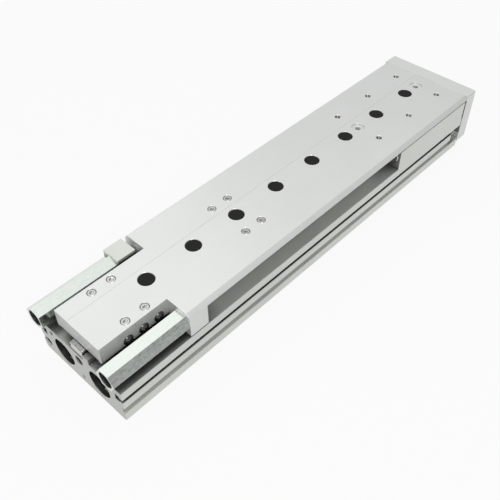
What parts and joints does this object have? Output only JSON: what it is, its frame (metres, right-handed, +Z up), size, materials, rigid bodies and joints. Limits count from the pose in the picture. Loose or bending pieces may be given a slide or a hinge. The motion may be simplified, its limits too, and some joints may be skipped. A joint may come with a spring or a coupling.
{
  "type": "pneumatic mini slide",
  "caption": "Flat pneumatic slide: a machined table on a ball guide runs out of a twin-bore housing, driven through a yoke plate, with a hexagon stop sleeve at each side.",
  "frame": {"origin": "middle of the flat mounting face under the housing", "axes": "+X along the travel, towards the yoke plate; +Y to the left side with the retraction stop; +Z up, out of the table top"},
  "size_m": [0.385, 0.0823, 0.05],
  "materials": {
    "anodised_aluminium": "fine-ground and clear anodised, satin",
    "black_aluminium": "turned and black anodised",
    "plated_steel": "bright drawn hexagon bar, zinc plated",
    "ground_steel": "hardened and ground",
    "spring_steel": "oiled spring steel",
    "black_oxide_steel": "blackened, oiled",
    "black_nylon": "moulded, matt",
    "nitrile_rubber": "moulded",
    "bearing_bronze": "turned"
  },
  "bodies": {
    "housing": {"housing": "anodised_aluminium", "duct_balls": "ground_steel", "guide_rail": "ground_steel", "rail_screws": "ground_steel", "left_rear_cap": "black_aluminium", "right_rear_cap": "black_aluminium", "left_rod_bush": "bearing_bronze", "right_rod_bush": "bearing_bronze", "rear_cap_seals": "nitrile_rubber", "rod_seals": "nitrile_rubber", "rear_retaining_rings": "spring_steel", "front_retaining_rings": "spring_steel", "retraction_stop_sleeve": "plated_steel", "retraction_cushion_spring": "spring_steel", "retraction_adjusting_screw": "plated_steel", "stop_pad": "ground_steel"},
    "table": {"table": "anodised_aluminium", "yoke_plate": "anodised_aluminium", "left_piston": "anodised_aluminium", "right_piston": "anodised_aluminium", "extension_stop_sleeve": "plated_steel", "extension_adjusting_screw": "plated_steel", "rear_carriage": "ground_steel", "front_carriage": "ground_steel", "guide_balls": "ground_steel", "left_piston_rod": "ground_steel", "right_piston_rod": "ground_steel", "piston_nuts": "ground_steel", "carriage_screws": "ground_steel", "yoke_screws": "ground_steel", "rod_screws": "ground_steel", "extension_cushion_spring": "spring_steel", "side_clamp_screws": "black_oxide_steel", "hole_plugs": "black_nylon", "carriage_end_caps": "black_nylon", "piston_magnets": "black_nylon", "piston_seals": "nitrile_rubber", "carriage_wipers": "nitrile_rubber"},
    "retraction_pin": {"retraction_cushion_pin": "ground_steel"},
    "extension_pin": {"extension_cushion_pin": "ground_steel"}
  },
  "joints": [
    {"name": "table_slide", "type": "slide", "parent": "housing", "child": "table", "axis": [1, 0, 0], "range_m": [0, 0.2]},
    {"name": "retraction_pin_slide", "type": "slide", "parent": "housing", "child": "retraction_pin", "axis": [1, 0, 0], "range_m": [-0.003, 0], "stiffness_N_per_m": 1500, "springref_m": 0.001, "deforming": ["retraction_cushion_spring"]},
    {"name": "extension_pin_slide", "type": "slide", "parent": "table", "child": "extension_pin", "axis": [1, 0, 0], "range_m": [-0.003, 0], "stiffness_N_per_m": 1500, "springref_m": 0.001, "deforming": ["extension_cushion_spring"]}
  ]
}
